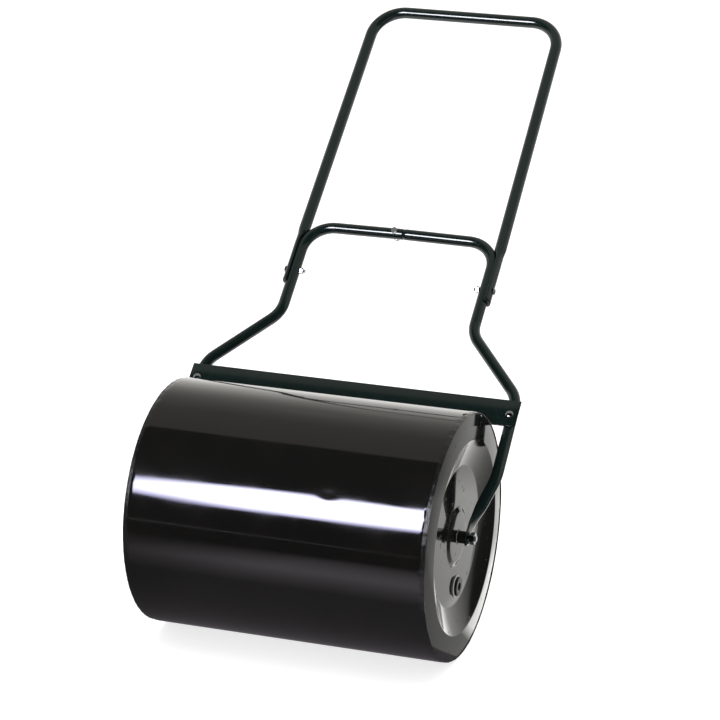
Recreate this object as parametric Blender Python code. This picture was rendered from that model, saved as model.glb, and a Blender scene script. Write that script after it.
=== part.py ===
# Water-filled lawn roller: a steel drum turning on a through axle, a bent-tube pulling frame
# with a scraper bar, and a U-shaped handle clamped to it. Metres, +Z up.
# World frame: X along the drum's axle, +Y towards the handle, origin on the ground under the drum.
# Frame pieces are drawn in the handle's own plane: x across, y along the handle from the axle, z out
# of the plane on its upper side. An empty on the axle then raises that plane to working height.

import math

import bmesh
import bpy
import numpy as np

# ---- driving dimensions ----
DRUM_RADIUS = 0.200
DRUM_WIDTH = 0.500
OVERALL_LENGTH = 1.230          # drum's far side to the top of the handle
HANDLE_RAISE = math.radians(40)

GAP = 0.0003                    # between faces that touch on the real object
TURN_SIDES = 48                 # facets round the drum
SIDES = 12                      # facets round a tube
PIPE_SIDES = 16                 # facets round the axle's pipe and bushes
BEND_STEPS = 4                  # segments in an eighth of a turn of a tube bend

SHEET = 0.0015                  # drum sheet
WALL = 0.0012                   # tube wall
TUBE_R = 0.0095                 # lower frame tube, 19 mm
HANDLE_R = 0.010                # handle tube, 20 mm

# end plates
RING_INNER_R = 0.157
DISH_R = 0.114
DISH_DEPTH = 0.012
BOSS_R = 0.048
BOSS_RISE = 0.003
BOSS_EDGE = 0.004               # width of the boss's sloping edge
RIM_INSET = 0.001
FLANGE_LENGTH = 0.014

# axle
AXLE_R = 0.005
PIPE_R = 0.011
PIPE_WALL = 0.0015
BUSH_LENGTH = 0.022
SPACER_R = 0.010
LEG_FACE = 0.254                # inner face of the flattened leg
LEG_FLAT = 0.004                # thickness of the flattened leg
WASHER = 0.002
AXLE_NUT = 0.008
AXLE_PROUD = 0.002

# filler
FILLER_DROP = 0.085             # filler below the axle at rest
FILLER_R = 0.0128
NECK_WALL = 0.003
NECK_LENGTH = 0.014
PLUG_R = 0.0155
PLUG_HEAD = 0.004
SLOT_R = 0.011                  # recess in the plug's head
SLOT_DEPTH = 0.003
GASKET_R = 0.0178
GASKET = 0.0015

# lower frame, in the handle's plane
LEG_X = 0.272
LEG_SPLAY_X = 0.2755
SIDE_X = 0.169
FLAT_X = LEG_FACE + LEG_FLAT / 2
FLAT_HALF_WIDTH = 0.014
CROSSBAR_Y = 0.553
LEG_FOOT_Y = 0.024
LEG_KNEE_Y = 0.112
DIAGONAL_FOOT_Y = 0.263
DIAGONAL_HEAD_Y = 0.374
FOOT_BEND_R = 0.030
KNEE_BEND_R = 0.120
BEND_R = 0.050
FLATTEN_TO_Y = 0.098            # above it the leg is round
FLATTEN_LENGTH = 0.072
SHARPEST_HOLLOW = 0.35          # flatness above which the leg's walls meet
SWAGE_LENGTH = 0.030
SWAGE_STEP = 0.006
JOINT_BOLT_X = -0.013

# scraper bar
BAR_HALF = 0.286
BAR_LOW_Y = 0.2025
BAR_HIGH_Y = 0.2505
BAR_THICK = 0.003
BAR_BOLT_Y = 0.224

# handle
HANDLE_TOP_Y = OVERALL_LENGTH - DRUM_RADIUS - HANDLE_R
HANDLE_TOP_X = 0.1695
HANDLE_LOW_X = 0.1755
HANDLE_BEND_R = 0.055
ROUND_FROM_Y = 0.545            # above it the handle tube is round
SADDLE_TO_Y = 0.520             # below it the handle tube is a saddle
HANDLE_END_Y = 0.440
HANDLE_BOLT_Y = 0.460
SADDLE_IN_R = 0.0105            # clears the corners of the frame tube's facets
SADDLE_OUT_R = 0.0150
SADDLE_SPAN = math.radians(60)
CAP_TIP = 0.004
CAP_TONGUE = 0.007

# fasteners
CHAMFER = 0.001
M6_R = 0.003
M6_HOLE_R = 0.0034
M6_FLATS = 0.010
M6_NUT = 0.005
M6_HEAD = 0.004
DOME_R = 0.0065
DOME_HEAD = 0.003
THREAD_PROUD = 0.004            # thread standing out of its nut
DRILL_REACH = 0.020             # half a cutter's length about the tube it drills
AXLE_HOLE_R = 0.0055
AXLE_FLATS = 0.017

FINISHES = {                    # sRGB hex, roughness, metallic
    "drum_paint": ("1c1c1c", 0.12, 0.0),
    "frame_paint": ("1c2725", 0.22, 0.0),
    "zinc": ("c9ccce", 0.30, 1.0),
    "black_plastic": ("121213", 0.40, 0.0),
    "nylon": ("d8d4c8", 0.50, 0.0),
    "grey_rubber": ("a9a9a4", 0.70, 0.0),
    "bare_steel": ("6f7172", 0.40, 1.0),
}


# ---- scene, materials and mesh helpers ----
def clear_scene():
    for old in list(bpy.data.objects):
        bpy.data.objects.remove(old, do_unlink=True)


def linear(channel):
    return channel / 12.92 if channel <= 0.04045 else ((channel + 0.055) / 1.055) ** 2.4


def finish(obj, kind):
    colour, roughness, metallic = FINISHES[kind]
    material = bpy.data.materials.new(obj.name + "_" + kind)
    material.use_nodes = True
    shader = material.node_tree.nodes["Principled BSDF"]
    rgb = [linear(int(colour[i:i + 2], 16) / 255) for i in (0, 2, 4)]
    shader.inputs["Base Color"].default_value = (*rgb, 1)
    shader.inputs["Roughness"].default_value = roughness
    shader.inputs["Metallic"].default_value = metallic
    obj.data.materials.append(material)


def add_empty(name, location, turn=0.0):
    empty = bpy.data.objects.new(name, None)
    empty.location = location
    empty.rotation_euler = (turn, 0, 0)
    bpy.context.scene.collection.objects.link(empty)
    return empty


def loft(name, rings, parent, kind, closed=False, location=(0, 0, 0)):
    """One body from rings of points: joined end to end when closed, else capped at both ends."""
    bm = bmesh.new()
    loops = [[bm.verts.new(point) for point in ring] for ring in rings]
    pairs = list(zip(loops, loops[1:]))
    if closed:
        pairs.append((loops[-1], loops[0]))
    else:
        bm.faces.new(loops[0][::-1])
        bm.faces.new(loops[-1])
    for low, high in pairs:
        count = len(low)
        for i in range(count):
            j = (i + 1) % count
            bm.faces.new((low[i], low[j], high[j], high[i]))
    bmesh.ops.recalc_face_normals(bm, faces=bm.faces)
    mesh = bpy.data.meshes.new(name)
    bm.to_mesh(mesh)
    bm.free()
    mesh.shade_smooth()
    mesh.set_sharp_from_angle(angle=math.radians(32))
    obj = bpy.data.objects.new(name, mesh)
    bpy.context.scene.collection.objects.link(obj)
    obj.parent = parent
    obj.location = location
    if kind:
        finish(obj, kind)
    return obj


def circle(radius, sides, across=True):
    """Points (a, b) of a polygon; its flats, not its corners, lie at the radius when across."""
    reach = radius / math.cos(math.pi / sides) if across else radius
    angles = (np.arange(sides) + 0.5) * 2 * math.pi / sides
    return np.column_stack([reach * np.cos(angles), reach * np.sin(angles)])


def about_x(radius, x, sides, across=True, centre=(0, 0)):
    ring = circle(radius, sides, across)
    return [(x, centre[0] + a, centre[1] + b) for a, b in ring]


def turned(name, profile, parent, kind, sides, side=1, across=True, location=(0, 0, 0)):
    """A ring-shaped body: a closed profile of (radius, x) turned about the X axis."""
    rings = [about_x(radius, side * x, sides, across) for radius, x in profile]
    return loft(name, rings, parent, kind, closed=True, location=location)


def cut(obj, rings):
    """Cuts a closed body, given as rings, out of an object."""
    cutter = loft(obj.name + "_cutter", rings, obj.parent, None, location=obj.location)
    cutter.hide_render = True
    cutter.display_type = "WIRE"
    tool = obj.modifiers.new("hole", "BOOLEAN")
    tool.operation = "DIFFERENCE"
    tool.solver = "EXACT"
    tool.object = cutter


def mirrored(points, side):
    return [(side * x, y) for x, y in points]


# ---- tube paths in the handle's plane ----
def rounded_path(corners, radii):
    """Stations (x, y, tangent x, tangent y) along straight runs joined by arcs of the given radii."""
    corners = [np.array(c, float) for c in corners]
    stations = []
    start = (corners[1] - corners[0]) / np.linalg.norm(corners[1] - corners[0])
    stations.append((*corners[0], *start))
    for before, here, after, radius in zip(corners, corners[1:], corners[2:], radii):
        way_in = (here - before) / np.linalg.norm(here - before)
        way_out = (after - here) / np.linalg.norm(after - here)
        turn = math.atan2(way_in[0] * way_out[1] - way_in[1] * way_out[0], way_in @ way_out)
        reach = radius * math.tan(abs(turn) / 2)
        inward = np.array([-way_in[1], way_in[0]]) * math.copysign(1, turn)
        centre = here - way_in * reach + inward * radius
        steps = max(2, round(BEND_STEPS * abs(turn) / math.radians(45)))
        for k in range(steps + 1):
            angle = turn * k / steps
            tangent = np.array([
                way_in[0] * math.cos(angle) - way_in[1] * math.sin(angle),
                way_in[0] * math.sin(angle) + way_in[1] * math.cos(angle),
            ])
            outward = np.array([tangent[1], -tangent[0]]) * math.copysign(1, turn)
            stations.append((*(centre + outward * radius), *tangent))
    end = (corners[-1] - corners[-2]) / np.linalg.norm(corners[-1] - corners[-2])
    stations.append((*corners[-1], *end))
    return stations


def section_ring(station, section):
    """A cross-section (across, up) carried to a station of a path."""
    x, y, along_x, along_y = station
    return [(x + along_y * a, y - along_x * a, up) for a, up in section]


def flat_section(flatness, radius, half_thick, half_width):
    """A tube's section: round at 0 flatness, pressed to a flat strip with round edges at 1."""
    round_shape = circle(radius, SIDES)
    angles = (np.arange(SIDES) + 0.5) * 2 * math.pi / SIDES
    strip = np.column_stack([
        half_thick * np.clip(3 * np.cos(angles), -1, 1),
        half_width * np.sin(angles),
    ])
    return round_shape * (1 - flatness) + strip * flatness


# ---- drum ----
def end_plate_profile():
    """Outer face from the hub to the rim, round the flange, then the inner face back to the hub."""
    face = DRUM_WIDTH / 2 - RIM_INSET
    dish = face - DISH_DEPTH
    hub_hole = PIPE_R + GAP
    flange_r = DRUM_RADIUS - SHEET - GAP
    slope = RING_INNER_R - DISH_R
    wall = [
        (DISH_R, dish),
        (DISH_R + 0.25 * slope, dish + 0.12 * DISH_DEPTH),
        (DISH_R + 0.75 * slope, dish + 0.88 * DISH_DEPTH),
        (RING_INNER_R, face),
    ]
    outer = [
        (hub_hole, dish + BOSS_RISE),
        (BOSS_R - BOSS_EDGE, dish + BOSS_RISE),
        (BOSS_R, dish),
        *wall,
        (flange_r - SHEET, face),
        (flange_r, face - SHEET),
        (flange_r, face - FLANGE_LENGTH),
    ]
    inner = [
        (flange_r - SHEET, face - FLANGE_LENGTH),
        (flange_r - SHEET, face - SHEET - GAP),
        *[(radius, x - SHEET) for radius, x in wall[::-1]],
        (hub_hole, dish - SHEET),
    ]
    return outer + inner


def build_drum(drum):
    half = DRUM_WIDTH / 2
    dish_face = half - RIM_INSET - DISH_DEPTH
    boss_face = dish_face + BOSS_RISE
    filler = (0, -FILLER_DROP)

    shell = [
        (DRUM_RADIUS, -half),
        (DRUM_RADIUS, half),
        (DRUM_RADIUS - SHEET, half),
        (DRUM_RADIUS - SHEET, -half),
    ]
    turned("drum_shell", shell, drum, "drum_paint", TURN_SIDES)

    for side, word in ((-1, "left"), (1, "right")):
        plate = turned("end_plate_" + word, end_plate_profile(), drum, "drum_paint", TURN_SIDES, side)
        if side > 0:
            hole_r = FILLER_R + NECK_WALL + GAP
            cut(plate, [about_x(hole_r, x, SIDES, centre=filler) for x in (dish_face - DISH_DEPTH, half)])
        inner_end = boss_face - BUSH_LENGTH
        bore = AXLE_R + GAP
        outside = PIPE_R - PIPE_WALL - GAP
        bush = [(bore, inner_end), (outside, inner_end), (outside, boss_face), (bore, boss_face)]
        turned("axle_bush_" + word, bush, drum, "nylon", PIPE_SIDES, side, across=False)

    pipe = [
        (PIPE_R, -boss_face),
        (PIPE_R, boss_face),
        (PIPE_R - PIPE_WALL, boss_face),
        (PIPE_R - PIPE_WALL, -boss_face),
    ]
    turned("axle_pipe", pipe, drum, "bare_steel", PIPE_SIDES, across=False)

    back = dish_face - NECK_LENGTH
    neck = [
        (FILLER_R, back),
        (FILLER_R + NECK_WALL, back),
        (FILLER_R + NECK_WALL, dish_face),
        (FILLER_R, dish_face),
    ]
    turned("filler_neck", neck, drum, "bare_steel", SIDES, location=(0, *filler))


def build_filler_plug(drum):
    """The screw plug and its gasket, on an empty at the filler's centre line."""
    face = DRUM_WIDTH / 2 - RIM_INSET - DISH_DEPTH
    screw = add_empty("plug_axis", (0, 0, -FILLER_DROP))
    screw.parent = drum
    low = face + GAP
    shank = FILLER_R - 2 * GAP
    gasket = [
        (FILLER_R, low),
        (GASKET_R, low),
        (GASKET_R, low + GASKET),
        (FILLER_R, low + GASKET),
    ]
    turned("plug_gasket", gasket, screw, "grey_rubber", SIDES)
    seat = low + GASKET + GAP
    outline = [
        (shank - CHAMFER, face - NECK_LENGTH),
        (shank, face - NECK_LENGTH + CHAMFER),
        (shank, seat),
        (PLUG_R, seat),
        (PLUG_R, seat + PLUG_HEAD - CHAMFER),
        (PLUG_R - CHAMFER, seat + PLUG_HEAD),
        (SLOT_R, seat + PLUG_HEAD),
        (SLOT_R, seat + PLUG_HEAD - SLOT_DEPTH),
    ]
    rings = [about_x(radius, x, SIDES) for radius, x in outline]
    loft("filler_plug", rings, screw, "black_plastic")


# ---- fasteners ----
def hexagon(flats, count):
    """A hexagon's outline with count points, corners and points between them, count a multiple of 6."""
    reach = flats / math.sqrt(3)
    corners = [(reach * math.cos(k * math.pi / 3), reach * math.sin(k * math.pi / 3)) for k in range(6)]
    points = []
    for (a, b), (c, d) in zip(corners, corners[1:] + corners[:1]):
        for k in range(count // 6):
            t = k / (count // 6)
            points.append((a + (c - a) * t, b + (d - b) * t))
    return points


def round_points(radius, count, phase=0.0):
    angles = (np.arange(count) + phase) * 2 * math.pi / count
    return np.column_stack([radius * np.cos(angles), radius * np.sin(angles)])


def drill(radius, axis, centre, low, high):
    """A round cutter's rings along X or Z, its corners clear of the tubes' own edges."""
    return [placed(round_points(radius, 12, 0.37), along, axis, centre) for along in (low, high)]


def placed(points, along, axis, centre):
    """A ring of outline points at a distance along a fastener's axis, X or Z."""
    if axis == "x":
        return [(along, centre[0] + a, centre[1] + b) for a, b in points]
    return [(centre[0] + a, centre[1] + b, along) for a, b in points]


def add_nut(name, frame, axis, centre, low, high, flats, hole_r, sides=12):
    outer = hexagon(flats, sides)
    inner = round_points(hole_r, sides)
    rings = [placed(points, along, axis, centre) for points, along in
             ((outer, low), (outer, high), (inner, high), (inner, low))]
    return loft(name, rings, frame, "zinc", closed=True)


def add_bolt(name, frame, axis, centre, tip, seat, head, flats):
    """A hex-head bolt: a shank from tip to seat, and its head beyond the seat."""
    way = math.copysign(1, seat - tip)
    outline = hexagon(flats, 12)
    shank = round_points(M6_R, 12)
    rings = [placed(points, along, axis, centre) for points, along in (
        (shank * 0.8, tip), (shank, tip + way * CHAMFER), (shank, seat),
        (outline, seat), (outline, seat + way * head * 0.8),
        (round_points(flats * 0.45, 12), seat + way * head))]
    return loft(name, rings, frame, "zinc")


def add_dome_bolt(name, frame, axis, centre, tip, seat):
    """A round-head bolt: a shank from tip to seat, and a low dome beyond the seat."""
    way = math.copysign(1, seat - tip)
    shank = round_points(M6_R, 12)
    rings = [placed(points, along, axis, centre) for points, along in (
        (shank * 0.8, tip), (shank, tip + way * CHAMFER), (shank, seat),
        (round_points(DOME_R, 12), seat),
        (round_points(DOME_R * 0.92, 12), seat + way * DOME_HEAD * 0.45),
        (round_points(DOME_R * 0.5, 12), seat + way * DOME_HEAD))]
    return loft(name, rings, frame, "zinc")


# ---- lower frame ----
def lower_tube_rings(side, shrink):
    """Rings of one frame tube from its flattened foot to the middle joint, inset by shrink."""
    corners = mirrored([
        (FLAT_X, 0),
        (FLAT_X, LEG_FOOT_Y),
        (LEG_SPLAY_X, LEG_KNEE_Y),
        (LEG_X, DIAGONAL_FOOT_Y),
        (SIDE_X, DIAGONAL_HEAD_Y),
        (SIDE_X, CROSSBAR_Y),
        (0, CROSSBAR_Y),
    ], side)
    rings = []
    for station in rounded_path(corners, [FOOT_BEND_R, KNEE_BEND_R, BEND_R, BEND_R, BEND_R]):
        flatness = min(max((FLATTEN_TO_Y - station[1]) / FLATTEN_LENGTH, 0), 1)
        section = flat_section(flatness, TUBE_R - shrink, LEG_FLAT / 2, FLAT_HALF_WIDTH)
        rings.append((flatness, section_ring(station, section)))
    return rings


def foot_rings(side):
    """The flattened foot's rounded end beyond the axle hole."""
    rings = []
    for share in (0.97, 0.80, 0.45):
        reach = FLAT_HALF_WIDTH * share
        half_width = FLAT_HALF_WIDTH * math.sqrt(1 - share ** 2)
        section = flat_section(1, TUBE_R, LEG_FLAT / 2, half_width)
        station = (side * FLAT_X, -reach, 0, 1)
        rings.append(section_ring(station, section))
    return rings


def build_lower_tube(frame, side, word):
    outer = [ring for _, ring in lower_tube_rings(side, 0)]
    inner = [ring for flatness, ring in lower_tube_rings(side, WALL) if flatness < SHARPEST_HOLLOW]
    if side > 0:
        for radius, rings in ((TUBE_R, outer), (TUBE_R - WALL, inner)):
            swage = circle(radius - WALL - 2 * GAP, SIDES)
            rings[-1] = [(x + SWAGE_STEP, y, z) for x, y, z in rings[-1]]
            for x in (GAP, -SWAGE_LENGTH):
                rings.append(section_ring((x, CROSSBAR_Y, -1, 0), swage))
    rings = foot_rings(side) + outer + inner[::-1]
    tube = loft("lower_tube_" + word, rings, frame, "frame_paint")
    holes = [
        ("x", (0, 0), AXLE_HOLE_R, side * FLAT_X),
        ("z", (side * LEG_X, BAR_BOLT_Y), M6_HOLE_R, 0),
        ("x", (HANDLE_BOLT_Y, 0), M6_HOLE_R, side * SIDE_X),
        ("z", (JOINT_BOLT_X, CROSSBAR_Y), M6_HOLE_R, 0),
    ]
    for axis, centre, radius, middle in holes:
        cut(tube, drill(radius, axis, centre, middle - DRILL_REACH, middle + DRILL_REACH))


def build_scraper(frame):
    low = TUBE_R + GAP
    outline = [(-BAR_HALF, BAR_LOW_Y), (BAR_HALF, BAR_LOW_Y), (BAR_HALF, BAR_HIGH_Y), (-BAR_HALF, BAR_HIGH_Y)]
    bar = loft("scraper_bar", [[(x, y, z) for x, y in outline] for z in (low, low + BAR_THICK)],
               frame, "frame_paint")
    for side, word in ((-1, "left"), (1, "right")):
        centre = (side * LEG_X, BAR_BOLT_Y)
        cut(bar, drill(M6_HOLE_R, "z", centre, 0, DRILL_REACH))
        seat = low + BAR_THICK + GAP
        nut_top = -TUBE_R - GAP
        nut_low = nut_top - M6_NUT
        add_dome_bolt("scraper_bolt_" + word, frame, "z", centre, nut_low - THREAD_PROUD, seat)
        add_nut("scraper_nut_" + word, frame, "z", centre, nut_low, nut_top, M6_FLATS, M6_HOLE_R)


def build_joint_bolt(frame):
    centre = (JOINT_BOLT_X, CROSSBAR_Y)
    seat = TUBE_R + GAP
    add_bolt("joint_bolt", frame, "z", centre, -seat - M6_NUT - THREAD_PROUD, seat, M6_HEAD, M6_FLATS)
    add_nut("joint_nut", frame, "z", centre, -seat - M6_NUT, -seat, M6_FLATS, M6_HOLE_R)


# ---- axle ----
def build_axle(frame):
    end = LEG_FACE + LEG_FLAT + 2 * GAP + WASHER + GAP + AXLE_NUT + AXLE_PROUD
    rings = [about_x(radius, x, 12, across=False) for radius, x in (
        (AXLE_R - CHAMFER, -end),
        (AXLE_R, -end + CHAMFER),
        (AXLE_R, end - CHAMFER),
        (AXLE_R - CHAMFER, end),
    )]
    loft("axle_rod", rings, frame, "zinc")
    boss_face = DRUM_WIDTH / 2 - RIM_INSET - DISH_DEPTH + BOSS_RISE
    bore = AXLE_R + GAP
    for side, word in ((-1, "left"), (1, "right")):
        low, high = boss_face + 2 * GAP, LEG_FACE - GAP
        spacer = [(bore, low), (SPACER_R, low), (SPACER_R, high), (bore, high)]
        turned("axle_spacer_" + word, spacer, frame, "black_plastic", SIDES, side)
        low = LEG_FACE + LEG_FLAT + GAP
        high = low + WASHER
        washer = [(bore, low), (SPACER_R, low), (SPACER_R, high), (bore, high)]
        turned("axle_washer_" + word, washer, frame, "zinc", SIDES, side)
        ends = sorted((side * (high + GAP), side * (high + GAP + AXLE_NUT)))
        add_nut("axle_nut_" + word, frame, "x", (0, 0), *ends, AXLE_FLATS, bore)


# ---- handle ----
def saddle_section(inset):
    """A tube crushed round its neighbour: an outer arc and an inner arc about the neighbour's axis."""
    span = SADDLE_SPAN - inset / SADDLE_OUT_R
    count = SIDES // 2 + 1
    outer = np.linspace(-span, span, count)
    inner = np.linspace(span, -span, SIDES - count)
    radii = np.concatenate([np.full(count, SADDLE_OUT_R - inset), np.full(SIDES - count, SADDLE_IN_R + inset)])
    angles = np.concatenate([outer, inner])
    return np.column_stack([radii * np.cos(angles), radii * np.sin(angles)])


def round_section(inset):
    """The round tube's section, with its points in the same order as the saddle's."""
    count = SIDES // 2 + 1
    step = 2 * math.pi / SIDES
    angles = (np.arange(SIDES) - (count - 1) / 2) * step
    radius = (HANDLE_R - inset) / math.cos(math.pi / SIDES)
    return np.column_stack([radius * np.cos(angles), radius * np.sin(angles)])


def handle_rings(inset):
    """Rings from the left end, up round the top bar and down to the right end."""
    low_levels = [HANDLE_END_Y, SADDLE_TO_Y]
    blend_levels = [SADDLE_TO_Y + share * (ROUND_FROM_Y - SADDLE_TO_Y) for share in (0.25, 0.5, 0.75)]
    arms = []
    for side in (-1, 1):
        arm = []
        for y in low_levels + blend_levels:
            share = min(max((y - SADDLE_TO_Y) / (ROUND_FROM_Y - SADDLE_TO_Y), 0), 1)
            centre = SIDE_X + share * (HANDLE_LOW_X - SIDE_X)
            shape = saddle_section(inset) * (1 - share) + round_section(inset) * share
            arm.append([(side * (centre + a), y, up) for a, up in shape])
        arms.append(arm)
    corners = [
        (-HANDLE_LOW_X, ROUND_FROM_Y),
        (-HANDLE_TOP_X, HANDLE_TOP_Y),
        (HANDLE_TOP_X, HANDLE_TOP_Y),
        (HANDLE_LOW_X, ROUND_FROM_Y),
    ]
    round_part = []
    for station in rounded_path(corners, [HANDLE_BEND_R, HANDLE_BEND_R]):
        round_part.append(section_ring(station, round_section(inset) * (-1, 1)))
    return arms[0] + round_part + arms[1][::-1]


def build_handle(frame):
    tube = loft("upper_handle", handle_rings(0) + handle_rings(WALL)[::-1], frame, "frame_paint", closed=True)
    for side, word in ((-1, "left"), (1, "right")):
        centre = (HANDLE_BOLT_Y, 0)
        outside = side * (SIDE_X + DRILL_REACH)
        cut(tube, drill(M6_HOLE_R, "x", centre, side * SIDE_X, outside))
        seat = SIDE_X + SADDLE_OUT_R + GAP
        nut_high = SIDE_X - TUBE_R - GAP
        nut_low = nut_high - M6_NUT
        tip = nut_low - THREAD_PROUD
        add_dome_bolt("handle_bolt_" + word, frame, "x", centre, side * tip, side * seat)
        add_nut("handle_nut_" + word, frame, "x", centre, *sorted((side * nut_low, side * nut_high)),
                M6_FLATS, M6_HOLE_R)
        build_handle_cap(frame, side, word)


def build_handle_cap(frame, side, word):
    """A plastic cap over the saddle's open end: a solid tip with a short tongue inside the tube."""
    tip = saddle_section(0)
    tongue = saddle_section(WALL + GAP)
    levels = (
        (tip * 0.985, HANDLE_END_Y - GAP - CAP_TIP),
        (tip, HANDLE_END_Y - GAP - 0.75 * CAP_TIP),
        (tip, HANDLE_END_Y - GAP),
        (tongue, HANDLE_END_Y - GAP),
        (tongue, HANDLE_END_Y + CAP_TONGUE),
    )
    rings = [[(side * (SIDE_X + a), y, up) for a, up in shape] for shape, y in levels]
    loft("handle_cap_" + word, rings, frame, "black_plastic")


def main():
    clear_scene()
    axle_centre = (0, 0, DRUM_RADIUS)
    drum = add_empty("drum_axis", axle_centre)
    frame = add_empty("frame_axis", axle_centre, HANDLE_RAISE)
    build_drum(drum)
    build_filler_plug(drum)
    build_axle(frame)
    for side, word in ((-1, "left"), (1, "right")):
        build_lower_tube(frame, side, word)
    build_scraper(frame)
    build_joint_bolt(frame)
    build_handle(frame)


main()
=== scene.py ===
import math

import bmesh
import bpy
import numpy as np
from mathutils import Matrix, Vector


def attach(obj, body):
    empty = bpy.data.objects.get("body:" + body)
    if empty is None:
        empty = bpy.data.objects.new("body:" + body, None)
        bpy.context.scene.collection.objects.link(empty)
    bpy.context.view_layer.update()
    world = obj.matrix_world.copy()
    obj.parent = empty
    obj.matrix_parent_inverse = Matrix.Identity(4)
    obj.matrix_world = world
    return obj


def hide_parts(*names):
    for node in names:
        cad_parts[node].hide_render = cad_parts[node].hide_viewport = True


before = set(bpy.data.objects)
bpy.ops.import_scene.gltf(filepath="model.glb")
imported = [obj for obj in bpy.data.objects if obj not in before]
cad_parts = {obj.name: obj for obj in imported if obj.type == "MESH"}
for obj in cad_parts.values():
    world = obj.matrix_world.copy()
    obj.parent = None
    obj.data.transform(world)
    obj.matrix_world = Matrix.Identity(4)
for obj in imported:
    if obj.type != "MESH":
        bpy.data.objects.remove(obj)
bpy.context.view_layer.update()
scene = bpy.context.scene
scene.view_settings.view_transform = "Standard"

axle = {"height": 0.200, "handleRaise": math.radians(40)}


# a point (across, along the handle, out of the handle's plane) turned up about the axle into the world
def onHandle(points):
    c, s = math.cos(axle["handleRaise"]), math.sin(axle["handleRaise"])
    x, h, n = points[..., 0], points[..., 1], points[..., 2]
    return np.stack([x, h * c - n * s, axle["height"] + h * s + n * c], -1)


# the lengthwise distance of each point along a line of points
def distances(path):
    steps = np.linalg.norm(np.diff(path, axis=0), axis=1)
    return np.concatenate([[0.0], np.cumsum(steps)])


# the same line with points an equal distance apart
def evenly(path, spacing):
    along = distances(path)
    wanted = np.linspace(0, along[-1], max(2, int(along[-1] / spacing)) + 1)
    return np.column_stack([np.interp(wanted, along, path[:, i]) for i in range(path.shape[1])])


# each corner becomes an arc of its radius that touches the straight runs on both sides of it
def roundOff(corners, radii, degrees=4):
    corners = np.asarray(corners, float)
    made = []
    for i, radius in enumerate(radii):
        here = corners[i]
        if radius == 0:
            made.append(here[None])
            continue
        back = corners[i - 1] - here
        ahead = corners[(i + 1) % len(corners)] - here
        back = back / np.linalg.norm(back)
        ahead = ahead / np.linalg.norm(ahead)
        half = math.acos(np.clip(back @ ahead, -1, 1)) / 2
        middle = here + (back + ahead) / np.linalg.norm(back + ahead) * radius / math.sin(half)
        first = (here + back * radius / math.tan(half) - middle) / radius
        last = (here + ahead * radius / math.tan(half) - middle) / radius
        across = last - (first @ last) * first
        across = across / np.linalg.norm(across)
        sweep = math.pi - 2 * half
        turn = np.linspace(0, sweep, max(2, round(math.degrees(sweep) / degrees)) + 1)[:, None]
        made.append(middle + radius * (np.cos(turn) * first + np.sin(turn) * across))
    return np.concatenate(made)


# 0 before low, 1 after high, an S-shaped rise between
def rise(value, low, high):
    t = np.clip((value - low) / (high - low), 0, 1)
    return t * t * (3 - 2 * t)


# four-cornered faces over a grid of points, joined round in either direction when closed
def overGrid(points, closeRows=False, closeCols=True):
    rows, cols = points.shape[:2]
    index = np.arange(rows * cols).reshape(rows, cols)
    if closeRows:
        index = np.vstack([index, index[:1]])
    if closeCols:
        index = np.hstack([index, index[:, :1]])
    quads = np.stack([index[:-1, :-1], index[:-1, 1:], index[1:, 1:], index[1:, :-1]], -1)
    return points.reshape(-1, 3), [quads.reshape(-1, 4)]


# a skin over a run of rings, each end closed by a fan of triangles on the end ring's middle
def overRings(rings):
    points, faces = overGrid(rings)
    rows, cols = rings.shape[:2]
    here = np.arange(cols)
    ahead = (here + 1) % cols
    for ring, middle in ((0, rows * cols), ((rows - 1) * cols, rows * cols + 1)):
        faces.append(np.column_stack([np.full(cols, middle), ring + here, ring + ahead]))
    points = np.concatenate([points, rings[0].mean(0)[None], rings[-1].mean(0)[None]])
    return points, faces


# rings from a radius (rows, or rows by sides) and a distance along the axis: (along, a, b)
def aboutAxis(radius, along, sides):
    angle = np.arange(sides) * 2 * math.pi / sides
    radius = np.asarray(radius, float)
    if radius.ndim == 1:
        radius = np.repeat(radius[:, None], sides, 1)
    along = np.repeat(np.asarray(along, float)[:, None], sides, 1)
    return np.stack([along, radius * np.cos(angle), radius * np.sin(angle)], -1)


# rings about the drum's axle, or about another line parallel to it
def aboutAxle(radius, along, sides, height=axle["height"]):
    rings = aboutAxis(radius, along, sides)
    return rings + np.array([0, 0, height])


# rings of a fastener whose axis runs across the handle (x) or out of its plane (n)
def inFrame(rings, axis, centre):
    along, a, b = rings[..., 0], rings[..., 1], rings[..., 2]
    if axis == "x":
        return onHandle(np.stack([along, centre[0] + a, centre[1] + b], -1))
    return onHandle(np.stack([centre[0] + a, centre[1] + b, along], -1))


# one mesh object from parts of (points, arrays of faces), its faces turned outwards, riding on a body
def addPiece(name, parts, material, body, replaces=(), sharp=35):
    points, faces, start = [], [], 0
    for partPoints, partFaces in parts:
        points.append(partPoints)
        for array in partFaces:
            faces += (array + start).tolist()
        start += len(partPoints)
    mesh = bpy.data.meshes.new(name)
    mesh.from_pydata(np.concatenate(points).tolist(), [], faces)
    work = bmesh.new()
    work.from_mesh(mesh)
    bmesh.ops.remove_doubles(work, verts=work.verts, dist=1e-6)
    bmesh.ops.recalc_face_normals(work, faces=work.faces)
    work.to_mesh(mesh)
    work.free()
    mesh.shade_smooth()
    mesh.set_sharp_from_angle(angle=math.radians(sharp))
    mesh.materials.append(material)
    piece = bpy.data.objects.new(name, mesh)
    scene.collection.objects.link(piece)
    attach(piece, body)
    if replaces:
        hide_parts(*replaces)
    return piece


# an sRGB hex colour as linear red, green, blue, alpha
def linear(hexColour):
    parts = [int(hexColour[i : i + 2], 16) / 255 for i in (0, 2, 4)]
    return (*[p / 12.92 if p <= 0.04045 else ((p + 0.055) / 1.055) ** 2.4 for p in parts], 1.0)


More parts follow.
